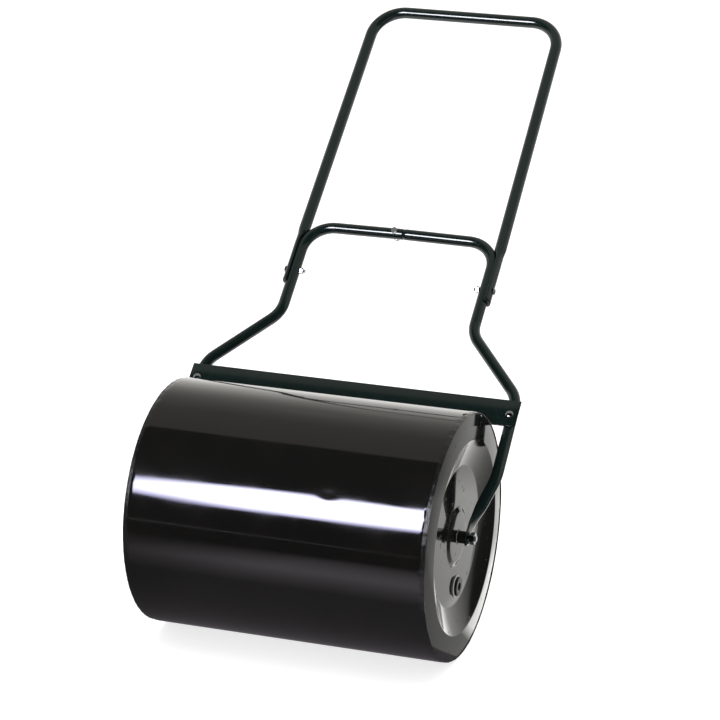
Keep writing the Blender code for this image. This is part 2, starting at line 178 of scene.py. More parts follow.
# a node of any kind with its settings; an input is a value, or another node's output to link from
def addNode(tree, kind, settings, inputs):
    node = tree.nodes.new("ShaderNode" + kind)
    for key, value in settings.items():
        setattr(node, key, value)
    for key, value in inputs.items():
        if isinstance(value, bpy.types.NodeSocket):
            tree.links.new(value, node.inputs[key])
        else:
            node.inputs[key].default_value = value
    return node


# Each finish has fixed values for its shader, and noises: how many millimetres across a blot is, its
# detail, and how rough that detail is. The tint runs between two colours over one noise. Dullness runs
# over a stretch of a noise, from low to high, between two roughnesses, and a second one adds to the
# first. The bump's height is in millimetres. Real zinc, steel and plastic have a grain finer than a tenth
# of a millimetre, which is drawn coarser so that it shows.
finishes = {
    # black stoving enamel on rolled sheet: nearly a mirror, with faint orange peel and handling haze
    "blackStovingEnamel": {
        "shader": {"IOR": 1.5},
        "noises": {"haze": (60, 4, 0.5), "peel": (2.5, 1, 0.5)},
        "tint": ("haze", "0e0e0e", "131211"),
        "dull": [("haze", 0.35, 0.75, 0.05, 0.12)],
        "bump": ("peel", 0.006),
    },
    # the same enamel on the pressed plates, with small dull marks where other goods rubbed it
    "scuffedStovingEnamel": {
        "shader": {"IOR": 1.5},
        "noises": {"haze": (60, 4, 0.5), "peel": (2.5, 1, 0.5), "rub": (9, 5, 0.6)},
        "tint": ("haze", "0e0e0e", "131211"),
        "dull": [("haze", 0.35, 0.75, 0.05, 0.12), ("rub", 0.635, 0.69, 0.0, 0.40)],
        "bump": ("peel", 0.006),
    },
    # the same enamel over rough weld metal: dark, broken sparkle
    "blackEnamelOverWeld": {
        "shader": {"IOR": 1.5},
        "noises": {"spatter": (1.6, 5, 0.7)},
        "tint": ("spatter", "0a0a0b", "151515"),
        "dull": [("spatter", 0.0, 1.0, 0.10, 0.34)],
        "bump": ("spatter", 0.35),
    },
    # dark green powder coat, baked on steel tube: glossy with a fine pebbled skin
    "darkGreenPowderCoat": {
        "shader": {"IOR": 1.5},
        "noises": {"haze": (45, 3, 0.5), "pebble": (1.8, 1, 0.5)},
        "tint": ("haze", "0a1513", "0f1b19"),
        "dull": [("haze", 0.0, 1.0, 0.09, 0.18)],
        "bump": ("pebble", 0.007),
    },
    # bright zinc plate, barrel finished: silver with a faint blue cast, softly mottled
    "brightZincPlate": {
        "shader": {"Metallic": 1.0},
        "noises": {"mottle": (3, 3, 0.5), "grain": (0.7, 2, 0.5)},
        "tint": ("mottle", "8b8f94", "bcbfc2"),
        "dull": [("mottle", 0.0, 1.0, 0.10, 0.22)],
        "bump": ("grain", 0.012),
    },
    # plain turned steel: darker grey with a thin oiled bloom
    "turnedMildSteel": {
        "shader": {"Metallic": 1.0},
        "noises": {"bloom": (5, 4, 0.5), "grain": (0.8, 3, 0.5)},
        "tint": ("bloom", "3c3c3d", "5d5c5a"),
        "dull": [("bloom", 0.0, 1.0, 0.28, 0.5)],
        "bump": ("grain", 0.02),
    },
    # black polyethylene, injection moulded: even low sheen with a fine grain
    "mouldedBlackPolythene": {
        "shader": {"IOR": 1.5, "Specular IOR Level": 0.3},
        "noises": {"grain": (0.9, 2, 0.5), "cloud": (12, 2, 0.5)},
        "tint": ("grain", "0d0d0e", "171718"),
        "dull": [("cloud", 0.0, 1.0, 0.28, 0.42)],
        "bump": ("grain", 0.02),
    },
    # natural nylon, moulded: cream with a waxy sheen
    "naturalNylon": {
        "shader": {"IOR": 1.53, "Subsurface Weight": 0.1},
        "noises": {"cloud": (6, 2, 0.5), "grain": (1, 2, 0.5)},
        "tint": ("cloud", "cfc9ba", "e0dccf"),
        "dull": [("cloud", 0.0, 1.0, 0.4, 0.55)],
        "bump": ("grain", 0.015),
    },
    # pale grey rubber, die cut: dull, dusty
    "dieCutGreyRubber": {
        "shader": {"IOR": 1.5},
        "noises": {"dust": (2.5, 4, 0.5)},
        "tint": ("dust", "9c9c97", "b9b9b3"),
        "dull": [("dust", 0.0, 1.0, 0.55, 0.75)],
        "bump": ("dust", 0.05),
    },
    # white background paper: matt, and lit so well that it glows
    "whiteStudioPaper": {
        "shader": {"Roughness": 0.7, "Emission Color": (1, 1, 1, 1), "Emission Strength": 0.75},
        "noises": {"cloud": (300, 2, 0.5)},
        "tint": ("cloud", "b2b2b2", "b6b6b6"),
        "dull": [],
    },
}


def makeFinish(name):
    finish = finishes[name]
    material = bpy.data.materials.new(name)
    material.use_nodes = True
    tree = material.node_tree
    shader = tree.nodes["Principled BSDF"]
    for key, value in finish["shader"].items():
        shader.inputs[key].default_value = value
    place = addNode(tree, "TexCoord", {}, {}).outputs["Object"]
    noises = {}
    for key, (across, detail, rough) in finish["noises"].items():
        inputs = {"Vector": place, "Scale": 1000 / across, "Detail": detail, "Roughness": rough}
        noises[key] = addNode(tree, "TexNoise", {}, inputs).outputs["Fac"]
    key, first, second = finish["tint"]
    inputs = {"Fac": noises[key], "Color1": linear(first), "Color2": linear(second)}
    tree.links.new(addNode(tree, "MixRGB", {}, inputs).outputs["Color"], shader.inputs["Base Color"])
    dull = None
    for key, low, high, least, most in finish["dull"]:
        inputs = {"Value": noises[key], "From Min": low, "From Max": high, "To Min": least, "To Max": most}
        more = addNode(tree, "MapRange", {}, inputs).outputs["Result"]
        if dull:
            more = addNode(tree, "Math", {"operation": "ADD"}, {0: dull, 1: more}).outputs["Value"]
        dull = more
        tree.links.new(dull, shader.inputs["Roughness"])
    if "bump" in finish:
        key, height = finish["bump"]
        inputs = {"Strength": 1.0, "Distance": height / 1000, "Height": noises[key]}
        tree.links.new(addNode(tree, "Bump", {}, inputs).outputs["Normal"], shader.inputs["Normal"])
    return material


drumEnamel = makeFinish("blackStovingEnamel")
plateEnamel = makeFinish("scuffedStovingEnamel")
weldEnamel = makeFinish("blackEnamelOverWeld")
frameEnamel = makeFinish("darkGreenPowderCoat")
zincPlate = makeFinish("brightZincPlate")
bareSteel = makeFinish("turnedMildSteel")
blackPlastic = makeFinish("mouldedBlackPolythene")
nylon = makeFinish("naturalNylon")
greyRubber = makeFinish("dieCutGreyRubber")
studioPaper = makeFinish("whiteStudioPaper")
print("materials made")

drumSheet = {
    "radius": 0.1998,
    "halfLength": 0.2498,
    "inside": 0.1975,
    "rows": 151,
    "sides": 480,
    "sunk": 0.13,  # millimetres off the radius everywhere, which keeps the ripples within it
    "edgeDrop": 1.15,  # millimetres
    "edgeLength": 0.0095,
    "roughShare": 0.62,  # of the edge, nearest the weld
    "seamAngle": math.radians(235),
    # place along the drum, degrees up from the front, depth in millimetres, half length, and half
    # width in degrees
    "dents": [
        (0.083, 34.4, 0.46, 0.014, 2.4),
        (0.205, 38, 0.16, 0.035, 4.0),
        (-0.120, 66, 0.20, 0.060, 2.6),
        (0.020, 78, 0.16, 0.080, 2.4),
        (0.140, 84, 0.14, 0.070, 2.0),
        (-0.060, 205, 0.30, 0.030, 5.0),
        (0.150, 300, 0.25, 0.022, 4.0),
    ],
}


# the sheet's radius at a length x and an angle round it: long low ripples left by the rolls,
# a few dents, a lengthwise weld, and a puckered edge pulled down by the end weld
def sheetRadius(x, angle):
    d = drumSheet
    ripple = 0.055 * np.sin(9 * angle + 3.0 * x + 0.6)
    ripple += 0.034 * np.sin(17 * angle - 7.0 * x + 2.1)
    ripple += 0.016 * np.sin(31 * angle + 13 * x + 1.0) * np.sin(11 * x + 2 * angle)
    dents = 0.0
    for place, turn, depth, wideX, wideTurn in d["dents"]:
        away = (angle - math.radians(180 - turn) + math.pi) % (2 * math.pi) - math.pi
        dents = dents + depth * np.exp(-((x - place) / wideX) ** 2 - (away / math.radians(wideTurn)) ** 2)
    seamAway = (angle - d["seamAngle"] + math.pi) % (2 * math.pi) - math.pi
    seam = 0.22 * np.exp(-(seamAway * 200 / 2.2) ** 2) * (1 + 0.25 * np.sin(x * 2600))
    beyond = np.clip((np.abs(x) - d["halfLength"]) / d["edgeLength"] + 1, 0, 1)
    pucker = 0.17 * np.sin(67 * angle + 40 * x) + 0.12 * np.sin(131 * angle - 90 * x)
    pucker += 0.22 * np.sin(29 * angle + 1) * np.sin(5 * angle + 2)
    down = d["edgeDrop"] * beyond**1.25 + (pucker + 0.05) * rise(beyond, 0, 0.4)
    return d["radius"] - (d["sunk"] + dents - seam * (1 - beyond) - ripple + down) / 1000


# rows closer together towards both ends, where the edge bends; the inside is a plain tube
def buildDrumSheet():
    d = drumSheet
    even = np.linspace(-1, 1, d["rows"])
    x = d["halfLength"] * np.sign(even) * (1 - (1 - np.abs(even)) ** 1.25)
    angle = np.arange(d["sides"]) * 2 * math.pi / d["sides"]
    outside = aboutAxle(sheetRadius(x[:, None], angle[None]), x, d["sides"])
    inside = np.array([1, -1]) * d["halfLength"]
    inside = aboutAxle(np.full(2, d["inside"]), inside, d["sides"])
    skin = overGrid(np.concatenate([outside, inside]), closeRows=True)
    piece = addPiece("drumSheet", [skin], drumEnamel, "drum", ["drum_shell"])
    # the last stretch beside each weld is rough
    piece.data.materials.append(weldEnamel)
    middles = np.empty(len(piece.data.polygons) * 3)
    piece.data.polygons.foreach_get("center", middles)
    rough = np.abs(middles[::3]) > d["halfLength"] - d["roughShare"] * d["edgeLength"]
    piece.data.polygons.foreach_set("material_index", rough.astype(np.int32))


endPlate = {
    "floor": 0.2370,
    "sheet": 0.0015,
    "hubHole": 0.0113,
    "bossRows": [0.0200, 0.0300],
    "bossRise": 0.0030,
    "bossRadius": 0.0480,
    "bossFrom": 0.0405,
    "floorRows": (0.0540, 0.1080, 13),
    "dishRadius": 0.1140,
    "dishSlope": 0.280,
    "ringRadius": 0.1570,
    "ringOut": 0.2523,
    "rimRadius": 0.1972,
    "rimOut": 0.2488,
    "ringSlope": 0.060,
    "flangeEnd": 0.2350,
    "bossBend": 0.0080,
    "dishBend": 0.0060,
    "ringBend": 0.0034,
    "rimBend": 0.0018,
    "sides": 240,
    "fillerDrop": 0.0850,
    "fillerHole": 0.0161,
    "patchFrom": 0.0630,
    "patchTo": 0.1080,
    "patchHalfWidth": 11,  # in faces
}


# the plate's face from the hub outwards as (radius, out): a boss, a flat floor, a wall that steepens
# as the square of the way up it, a ring that falls away as the square of the way out, and a flange
def plateProfile():
    e = endPlate
    floor = [(r, e["floor"]) for r in np.linspace(*e["floorRows"])]
    share = np.linspace(0, 1, 13)
    run, height = e["ringRadius"] - e["dishRadius"], e["ringOut"] - e["floor"]
    first = e["dishSlope"] * run
    climb = first * share + (height - first) * share**2
    wall = np.column_stack([e["dishRadius"] + run * share, e["floor"] + climb])
    run, fall = e["rimRadius"] - e["ringRadius"], e["ringOut"] - e["rimOut"]
    first = e["ringSlope"] * run
    drop = first * share + (fall - first) * share**2
    ring = np.column_stack([e["ringRadius"] + run * share, e["ringOut"] - drop])
    top = e["floor"] + e["bossRise"]
    corners = [(r, top) for r in (e["hubHole"], *e["bossRows"], e["bossFrom"])]
    corners += [(e["bossRadius"], e["floor"])]
    bends = [0, 0, 0, e["bossBend"], e["bossBend"]]
    corners += floor + wall[:-1].tolist() + ring.tolist() + [(e["rimRadius"], e["flangeEnd"])]
    straight = [0] * (len(share) - 2)
    bends += [0] * len(floor) + [e["dishBend"]] + straight + [e["ringBend"]] + straight + [e["rimBend"], 0]
    return roundOff(corners, bends, 5)


# a round hole in the floor: straight lines from the edge of a block of its faces to a circle
def platePatch(index, rows, points, centre, out):
    middle = index.shape[1] // 2
    left, right = middle - endPlate["patchHalfWidth"], middle + endPlate["patchHalfWidth"]
    low, high = rows
    loop = np.concatenate([
        index[low, left:right],
        index[low:high, right],
        index[high, right:left:-1],
        index[high:low:-1, left],
    ])
    edge = points[loop]
    toEdge = edge[:, 1:] - centre
    circle = centre + endPlate["fillerHole"] * toEdge / np.linalg.norm(toEdge, axis=1)[:, None]
    steps = np.linspace(0, 1, 7)[1:, None, None]
    rings = edge[None, :, 1:] * (1 - steps) + circle[None] * steps
    rings = np.concatenate([np.full((*rings.shape[:2], 1), out), rings], -1)
    return (low, high, left, right), loop, rings


# the profile and the same profile moved inwards by the sheet's thickness, turned about the axle
def buildEndPlate(side, word, hasFiller):
    radius, out = plateProfile().T
    tangent = np.gradient(np.column_stack([radius, out]), axis=0)
    normal = np.column_stack([-tangent[:, 1], tangent[:, 0]]) / np.linalg.norm(tangent, axis=1)[:, None]
    innerRadius = np.maximum(radius - endPlate["sheet"] * normal[:, 0], endPlate["hubHole"])
    innerOut = out - endPlate["sheet"] * normal[:, 1]
    innerRadius = np.minimum(innerRadius, radius[-1] - endPlate["sheet"])
    innerOut[-1] = out[-1]
    count = len(radius)
    sides = endPlate["sides"]
    fullRadius = np.concatenate([radius, innerRadius[::-1]])
    fullOut = side * np.concatenate([out, innerOut[::-1]])
    rings = aboutAxle(fullRadius, fullOut, sides)
    rings = np.stack([rings[..., 0], -(rings[..., 2] - axle["height"]), rings[..., 1] + axle["height"]], -1)
    points, faces = overGrid(rings, closeRows=True)
    parts = [(points, faces)]
    if hasFiller:
        index = np.arange(len(points)).reshape(rings.shape[:2])
        centre = np.array([0.0, axle["height"] - endPlate["fillerDrop"]])
        firstRow = int(np.argmin(np.abs(radius - endPlate["patchFrom"])))
        lastRow = int(np.argmin(np.abs(radius - endPlate["patchTo"])))
        mirrorFirst, mirrorLast = 2 * count - 1 - lastRow, 2 * count - 1 - firstRow
        floorOut = side * float(out[firstRow])
        backOut = side * float(innerOut[firstRow])
        cutBlocks, loops, skins = [], [], []
        for rows, at in (((firstRow, lastRow), floorOut), ((mirrorFirst, mirrorLast), backOut)):
            block, loop, patch = platePatch(index, rows, points, centre, at)
            cutBlocks.append(block)
            loops.append(loop)
            skins.append(np.concatenate([points[loop][None], patch]))
        quadRow = np.repeat(np.arange(2 * count), sides)
        quadCol = np.tile(np.arange(sides), 2 * count)
        keep = np.ones(len(faces[0]), bool)
        for low, high, left, right in cutBlocks:
            keep &= ~((quadRow >= low) & (quadRow < high) & (quadCol >= left) & (quadCol < right))
        parts = [(points, [faces[0][keep]])] + [overGrid(skin) for skin in skins]
        back = skins[1][-1]
        front = skins[0][-1]
        nearest = np.argmin(np.linalg.norm(front[:, None, 1:] - back[None, :, 1:], axis=2), axis=1)
        parts.append(overGrid(np.stack([front, back[nearest]])))
    node = "end_plate_" + word.lower()
    addPiece("endPlate" + word, parts, plateEnamel, "drum", [node], sharp=40)


weldBead = {"at": 0.2493, "half": 0.0007, "height": 0.0006, "radius": 0.1977, "sides": 720}


# a low bead round the drum: height falls off to both sides, in overlapping scales along its length
def buildRimWelds():
    angle = np.arange(weldBead["sides"]) * 2 * math.pi / weldBead["sides"]
    turn = np.linspace(0, 2 * math.pi, 13)[:-1][:, None]
    scales = 0.5 + 0.5 * np.abs(np.sin(angle * 95 + 0.8 * np.cos(turn)))
    lumps = 1 + 0.22 * np.sin(23 * angle + 1) + 0.18 * np.sin(57 * angle)
    for side, word in ((-1, "Left"), (1, "Right")):
        out = weldBead["half"] * np.cos(turn) * (0.85 + 0.15 * lumps) + 0 * angle
        up = weldBead["height"] * np.sin(turn) * (0.55 + 0.25 * scales + 0.2 * lumps)
        wander = 0.00015 * np.sin(7 * angle) + 0.0001 * np.sin(29 * angle + 2)
        radius = weldBead["radius"] + up
        x = side * (weldBead["at"] + out + wander)
        rings = np.stack([x, radius * np.cos(angle), axle["height"] + radius * np.sin(angle)], -1)
        addPiece("rimWeld" + word, [overGrid(rings, closeRows=True)], weldEnamel, "drum")


hub = {
    "boss": 0.2400,
    "pipe": 0.0110,
    "wall": 0.0015,
    "bush": 0.0220,
    "bore": 0.0053,
    "sides": 64,
    "weldRadius": 0.0119,
    "weld": 0.0011,
    "weldSides": 192,
}


# a pipe and two bushes, each a rectangle with small round corners turned about the axle
def buildHub():
    def ring(name, corners, radii, material, slot, replaces, side=1):
        profile = roundOff(corners, radii, 15)
        rings = aboutAxle(profile[:, 0], side * profile[:, 1], hub["sides"])
        addPiece(name, [overGrid(rings, closeRows=True)], material, "drum", replaces)

    boss, pipe, wall = hub["boss"], hub["pipe"], hub["wall"]
    corners = [(pipe, -boss), (pipe, boss), (pipe - wall, boss), (pipe - wall, -boss)]
    ring("axlePipe", corners, [0.0004] * 4, bareSteel, "bare_steel", ["axle_pipe"])
    outside = pipe - wall - 0.0002
    inner = boss - hub["bush"]
    for side, word in ((-1, "Left"), (1, "Right")):
        corners = [(hub["bore"], inner), (outside, inner), (outside, boss), (hub["bore"], boss)]
        bends = [0.0004, 0.0004, 0.0006, 0.0006]
        node = ["axle_bush_" + word.lower()]
        ring("axleBush" + word, corners, bends, nylon, "nylon", node, side)
        # a fillet weld round the pipe: a ring whose section swells and shrinks in scales
        angle = np.arange(hub["weldSides"]) * 2 * math.pi / hub["weldSides"]
        turn = np.linspace(0, 2 * math.pi, 13)[:-1][:, None]
        size = hub["weld"] * (0.86 + 0.14 * np.abs(np.sin(angle * 14)) + 0.06 * np.sin(5 * angle))
        radius = hub["weldRadius"] + size * np.cos(turn)
        x = side * (boss - 0.0004 + 0.6 * size * np.sin(turn))
        rings = np.stack([x, radius * np.cos(angle), axle["height"] + radius * np.sin(angle)], -1)
        addPiece("hubWeld" + word, [overGrid(rings, closeRows=True)], weldEnamel, "drum")


filler = {
    "face": 0.2370,
    "bore": 0.0128,
    "wall": 0.0030,
    "length": 0.0140,
    "pitch": 0.0035,
    "threadDepth": 0.0009,
    "sides": 72,
    "gasketRadius": 0.0178,
    "gasket": 0.0015,
    "gap": 0.0003,
    "headRadius": 0.0155,
    "head": 0.0040,
    "keyFlats": 0.0120,
}


# the dip of a screw thread: a blunt wave of the distance along, moved one pitch for each turn round
def threadDip(along, sides, pitch):
    angle = np.arange(sides) / sides
    phase = (along[:, None] / pitch - angle[None]) % 1
    return np.clip(1.6 * np.abs(2 * phase - 1) - 0.3, 0, 1)


# the radius of a hexagon's outline at each of so many angles
def hexRadius(flats, sides):
    angle = np.arange(sides) * 2 * math.pi / sides
    return flats / 2 / np.cos((angle + math.pi / 6) % (math.pi / 3) - math.pi / 6)


# a neck with an inside thread, a flat gasket, and a plug whose head has a six-sided key hole; each is
# a run of radii turned about the plug's axis, less the thread's dip
def buildFiller():
    height = axle["height"] - endPlate["fillerDrop"]
    face, sides = filler["face"], filler["sides"]
    back = face - filler["length"]

    along = np.linspace(back + 0.0004, face - 0.0004, 65)
    fade = rise(along, back, back + 0.002) * (1 - rise(along, face - 0.002, face))
    dip = filler["threadDepth"] * threadDip(along, sides, filler["pitch"])
    bore = filler["bore"] + 0.0001 + dip * fade[:, None]
    outside = filler["bore"] + filler["wall"]
    skin = np.array([outside - 0.0004, outside, outside, outside - 0.0004])
    radius = np.concatenate([bore, np.repeat(skin[:, None], sides, 1)])
    x = np.concatenate([along, [face, face - 0.0004, back + 0.0004, back]])
    rings = aboutAxle(radius, x, sides, height)
    skin = overGrid(rings, closeRows=True)
    addPiece("fillerNeck", [skin], bareSteel, "drum", ["filler_neck"])

    low = face + filler["gap"]
    high = low + filler["gasket"]
    bore, outer = filler["bore"], filler["gasketRadius"]
    corners = [(bore, low), (outer, low), (outer, high), (bore, high)]
    profile = roundOff(corners, [0.0003, 0.0006, 0.0006, 0.0003], 15)
    rings = aboutAxle(profile[:, 0], profile[:, 1], sides, height)
    skin = overGrid(rings, closeRows=True)
    addPiece("plugGasket", [skin], greyRubber, "gasket", ["plug_gasket"])

    seat = high + filler["gap"]
    top = seat + filler["head"]
    shank = filler["bore"] - 0.0003
    along = np.linspace(back + 0.0006, seat - 0.0010, 61)
    fade = rise(along, back, back + 0.003) * (1 - rise(along, face - 0.001, face + 0.001))
    dip = filler["threadDepth"] * threadDip(along, sides, filler["pitch"]) * fade[:, None]
    outer = filler["headRadius"] - np.array([0.0004, 0, 0, 0.0003, 0.0010, 0.0020])
    headRadius = np.repeat(np.concatenate([[shank], outer])[:, None], sides, 1)
    headAlong = [seat, seat, seat + 0.0004, top - 0.0012, top - 0.0005, top - 0.0001, top]
    key = hexRadius(filler["keyFlats"], sides)[None]
    keyRadius = np.concatenate([key + 0.0012, key + 0.0003, key, key - 0.0002, key - 0.0006])
    keyAlong = [top, top - 0.0002, top - 0.0007, top - 0.0032, top - 0.0035]
    tip = np.full((1, sides), shank - 0.0012)
    radius = np.concatenate([tip, shank - dip, headRadius, keyRadius])
    x = np.concatenate([[back], along, headAlong, keyAlong])
    rings = aboutAxle(radius, x, sides, height)
    addPiece("fillerPlug", [overRings(rings)], blackPlastic, "plug", ["filler_plug"])


buildDrumSheet()
buildEndPlate(-1, "Left", False)
buildEndPlate(1, "Right", True)
buildRimWelds()
buildHub()
buildFiller()
print("drum made")


# a hexagon nut: the outline cut by a cone at both faces, with a plain bore eased at both mouths
def buildNut(name, axis, centre, low, high, flats, bore, replaces):
    sides = 72
    outline = hexRadius(flats, sides)[None]
    thick = high - low
    corner = flats / math.sqrt(3)
    bevel = (corner - 0.485 * flats) / math.tan(math.radians(60))
    slope = np.linspace(0, bevel, 5)
    levels = np.concatenate([slope, [thick / 2], thick - slope[::-1]])
    fromFace = np.minimum(levels, thick - levels)[:, None]
    outer = np.minimum(outline, 0.485 * flats + fromFace * math.tan(math.radians(60)))
    mouth = np.array([bore + 0.0006, bore, bore, bore + 0.0006])
    radius = np.concatenate([outer, np.repeat(mouth[:, None], sides, 1)])
    along = np.concatenate([levels, [thick, thick - 0.0006, 0.0006, 0]]) + low
    rings = inFrame(aboutAxis(radius, along, sides), axis, centre)
    addPiece(name, [overGrid(rings, closeRows=True)], zincPlate, "frame", replaces, sharp=28)


# a bolt: tip, threaded stretch, plain shank and head, its radius given ring by ring
def buildBolt(name, axis, centre, tip, seat, threadLength, head, shank, pitch, replaces):
    sides = 48
    way = math.copysign(1, seat - tip)
    length = abs(seat - tip)
    threaded = np.linspace(0.0005, threadLength, int(threadLength / pitch * 8))
    fade = 1 - rise(threaded, threadLength - 0.001, threadLength)
    dip = 0.55 * pitch * threadDip(threaded, sides, pitch) * fade[:, None]
    headRadius, headAlong = head(sides)
    radius = np.concatenate([
        np.full((1, sides), shank * 0.8),
        np.minimum(shank - dip, shank * 0.8 + threaded[:, None]),
        np.full((1, sides), shank),
        headRadius,
    ])
    along = np.concatenate([[0], threaded, [length], length + headAlong])
    rings = inFrame(aboutAxis(radius, tip + way * along, sides), axis, centre)
    addPiece(name, [overRings(rings)], zincPlate, "frame", replaces, sharp=30)


# a mushroom head: a short rim, then an arc to the middle
def domeHead(radius, height):
    def head(sides):
        turn = np.linspace(0, 0.98 * math.pi / 2, 10)
        rows = np.concatenate([[radius * 0.98], radius * np.cos(turn)])
        along = np.concatenate([[0], height * (0.12 + 0.88 * np.sin(turn))])
        return np.repeat(rows[:, None], sides, 1), along

    return head


# a hexagon head, its outer face bevelled by a cone
def hexHead(flats, height):
    def head(sides):
        outline = hexRadius(flats, sides)
        along = np.array([0, height * 0.55, height * 0.70, height * 0.85, height, height])
        cone = 0.485 * flats + (height - along[:, None]) * math.tan(math.radians(60))
        rows = np.minimum(outline[None], cone)
        rows[-1] = 0.40 * flats
        return rows, along

    return head


bolts = {
    "tubeRadius": 0.0095,
    "gap": 0.0003,
    "shank": 0.0030,
    "pitch": 0.0010,
    "nut": 0.0050,
    "flats": 0.0100,
    "proud": 0.0040,
    "domeRadius": 0.0065,
    "domeHeight": 0.0030,
    "headHeight": 0.0040,
    "scraperAt": (0.272, 0.224),
    "scraperSheet": 0.0033,  # the bar's thickness and its gap
    "handleAt": (0.460, 0.0),
    "handleTube": 0.1690,
    "handleSeat": 0.1843,
    "jointAt": (-0.013, 0.553),
    "threads": {"scraper": 0.012, "handle": 0.013, "joint": 0.012},
}


def buildFasteners():
    b = bolts
    seat = b["tubeRadius"] + b["gap"]
    tip = seat + b["nut"] + b["proud"]
    dome = domeHead(b["domeRadius"], b["domeHeight"])
    shaft = (b["shank"], b["pitch"])
    threads = b["threads"]
    for side, word in ((-1, "Left"), (1, "Right")):
        low = word.lower()
        centre = (side * b["scraperAt"][0], b["scraperAt"][1])
        top = seat + b["scraperSheet"]
        node = ["scraper_bolt_" + low]
        buildBolt("scraperBolt" + word, "n", centre, -tip, top, threads["scraper"], dome, *shaft, node)
        node = ["scraper_nut_" + low]
        ends = (-seat - b["nut"], -seat)
        buildNut("scraperNut" + word, "n", centre, *ends, b["flats"], b["shank"], node)
        centre = b["handleAt"]
        start, top = side * (b["handleTube"] - tip), side * b["handleSeat"]
        node = ["handle_bolt_" + low]
        buildBolt("handleBolt" + word, "x", centre, start, top, threads["handle"], dome, *shaft, node)
        inner = b["handleTube"] - seat
        ends = sorted((side * inner, side * (inner - b["nut"])))
        node = ["handle_nut_" + low]
        buildNut("handleNut" + word, "x", centre, *ends, b["flats"], b["shank"], node)
    centre = b["jointAt"]
    head = hexHead(b["flats"], b["headHeight"])
    node = ["joint_bolt"]
    buildBolt("jointBolt", "n", centre, -tip, seat, threads["joint"], head, *shaft, node)
    ends = (-seat - b["nut"], -seat)
    buildNut("jointNut", "n", centre, *ends, b["flats"], b["shank"], ["joint_nut"])


axleParts = {
    "rod": 0.0050,
    "pitch": 0.0015,
    "spacer": (0.2406, 0.2537),
    "washer": (0.2583, 0.2603),
    "nut": (0.2606, 0.2686),
    "end": 0.2709,
    "bore": 0.0053,
    "collar": 0.0100,
    "flats": 0.0170,
}


# a rod threaded at both ends, and its spacers, washers and nuts, turned about the axle
def buildAxle():
    a = axleParts
    sides = 64
    threadFrom = a["washer"][0] - 0.004
    thread = np.linspace(threadFrom, a["end"] - 0.0004, int((a["end"] - threadFrom) / a["pitch"] * 10))
    fade = rise(thread, threadFrom, threadFrom + 0.0015)
    dip = 0.5 * a["pitch"] * threadDip(thread, sides, a["pitch"]) * fade[:, None]
    right = np.minimum(a["rod"] - dip, a["rod"] * 0.82 + (a["end"] - thread)[:, None])
    tip = np.full((1, sides), a["rod"] * 0.8)
    radius = np.concatenate([tip, right[::-1], right, tip])
    along = np.concatenate([[-a["end"]], -thread[::-1], thread, [a["end"]]])
    skin = overRings(aboutAxle(radius, along, sides))
    addPiece("axleRod", [skin], zincPlate, "frame", ["axle_rod"])
    for side, word in ((-1, "Left"), (1, "Right")):
        for name, node, span, edge, material, slot in (
            ("axleSpacer", "axle_spacer_", a["spacer"], 0.0008, blackPlastic, "black_plastic"),
            ("axleWasher", "axle_washer_", a["washer"], 0.0004, zincPlate, "zinc"),
        ):
            bore, outer = a["bore"], a["collar"]
            corners = [(bore, span[0]), (outer, span[0]), (outer, span[1]), (bore, span[1])]
            profile = roundOff(corners, [edge / 2, edge, edge, edge / 2], 15)
            rings = aboutAxle(profile[:, 0], side * profile[:, 1], sides)
            skin = overGrid(rings, closeRows=True)
            addPiece(name + word, [skin], material, "frame", [node + word.lower()])
        ends = sorted((side * a["nut"][0], side * a["nut"][1]))
        node = ["axle_nut_" + word.lower()]
        buildNut("axleNut" + word, "x", (0, 0), *ends, a["flats"], a["rod"], node)


buildFasteners()
buildAxle()
print("fasteners made")


# rings of a tube along a line in the handle's plane: a section's points lie left of the line and
# out of the plane
def alongPath(path, sections):
    tangent = np.gradient(path, axis=0)
    tangent = tangent / np.linalg.norm(tangent, axis=1)[:, None]
    left = np.column_stack([-tangent[:, 1], tangent[:, 0]])
    flat = path[:, None, :] + left[:, None, :] * sections[:, :, :1]
    return onHandle(np.concatenate([flat, sections[:, :, 1:]], -1))


# an oval from a circle (squareness 2) towards a rounded strip: a cosine and a sine raised to 2 over
# the squareness
def ovals(halfAcross, halfUp, squareness, sides):
    angle = np.arange(sides) * 2 * math.pi / sides
    power = (2 / squareness)[:, None]
    a = np.sign(np.cos(angle)) * np.abs(np.cos(angle)) ** power
    b = np.sign(np.sin(angle)) * np.abs(np.sin(angle)) ** power
    return np.stack([halfAcross[:, None] * a, halfUp[:, None] * b], -1)


lowerTube = {
    "radius": 0.0095,
    "corners": [
        (0.2560, -0.0135),
        (0.2560, 0.024),
        (0.2755, 0.112),
        (0.2720, 0.263),
        (0.1690, 0.374),
        (0.1690, 0.5522),
        (0.0, 0.5538),
    ],
    "bends": [0, 0.030, 0.120, 0.050, 0.050, 0.050, 0],
    "flatHalf": 0.0020,
    "flatWide": 0.0140,
    "flatBelow": 0.013,
    "roundAbove": 0.064,
    "swage": 0.0080,
    "swageLength": 0.028,
    "socket": 0.032,
    "sides": 40,
    "spacing": 0.003,
}


